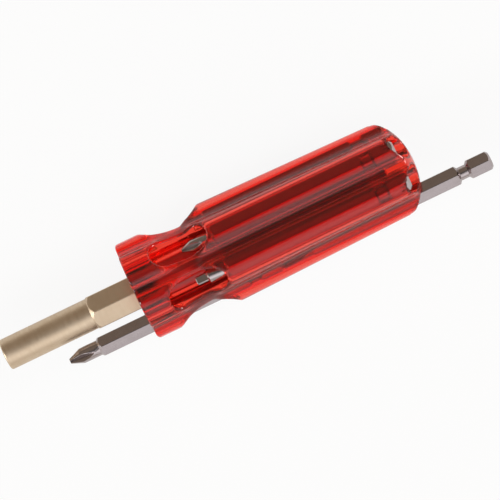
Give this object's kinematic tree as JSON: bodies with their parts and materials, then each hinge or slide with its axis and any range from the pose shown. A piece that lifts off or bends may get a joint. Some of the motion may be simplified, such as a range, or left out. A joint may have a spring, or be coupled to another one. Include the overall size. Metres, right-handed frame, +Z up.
{
  "type": "multi-bit screwdriver",
  "caption": "Hand screwdriver with a clear red lobed handle that stores double-length hexagon bits in through bores round a hexagon bit holder; a bit pushed in drives the stored one out.",
  "frame": {"origin": "on the bench, under the middle of the tool's length, with the tool lying on two lobes of its handle's rim", "axes": "X along the tool's axis, the driving nose at -X and the butt at +X; +Z up from the bench"},
  "size_m": [0.171, 0.035, 0.0328],
  "materials": {
    "handle_plastic": "clear red cellulose acetate butyrate, moulded and polished",
    "holder_plating": "turned steel bar with a pale gold satin plating",
    "magnet": "nickel plated magnet",
    "bit_steel": "drawn hexagon tool steel, satin nickel plated"
  },
  "bodies": {
    "driver": {"handle": "handle_plastic", "bit_holder": "holder_plating", "socket_magnet": "magnet"},
    "incoming_bit": {"cross_2_bit": "bit_steel"},
    "outgoing_bit": {"slot_wide_bit": "bit_steel"},
    "stored_cross_1": {"cross_1_bit": "bit_steel"},
    "stored_square_1": {"square_1_bit": "bit_steel"},
    "stored_square_2": {"square_2_bit": "bit_steel"},
    "stored_square_3": {"square_3_bit": "bit_steel"},
    "stored_slot_narrow": {"slot_narrow_bit": "bit_steel"}
  },
  "joints": [
    {"name": "incoming_push", "type": "slide", "parent": "driver", "child": "incoming_bit", "axis": [1, 0, 0], "range_m": [-0.0276, 0.0489]},
    {"name": "outgoing_push", "type": "slide", "parent": "driver", "child": "outgoing_bit", "axis": [1, 0, 0], "range_m": [-0.0276, 0.0489]},
    {"name": "cross_1_slide", "type": "slide", "parent": "driver", "child": "stored_cross_1", "axis": [1, 0, 0], "range_m": [0, 0.081]},
    {"name": "square_1_slide", "type": "slide", "parent": "driver", "child": "stored_square_1", "axis": [1, 0, 0], "range_m": [0, 0.081]},
    {"name": "square_2_slide", "type": "slide", "parent": "driver", "child": "stored_square_2", "axis": [1, 0, 0], "range_m": [0, 0.081]},
    {"name": "square_3_slide", "type": "slide", "parent": "driver", "child": "stored_square_3", "axis": [1, 0, 0], "range_m": [0, 0.081]},
    {"name": "slot_narrow_slide", "type": "slide", "parent": "driver", "child": "stored_slot_narrow", "axis": [1, 0, 0], "range_m": [0, 0.081]}
  ],
  "couplings": [
    {"joint": "outgoing_push", "follows": "incoming_push", "ratio": 1}
  ]
}
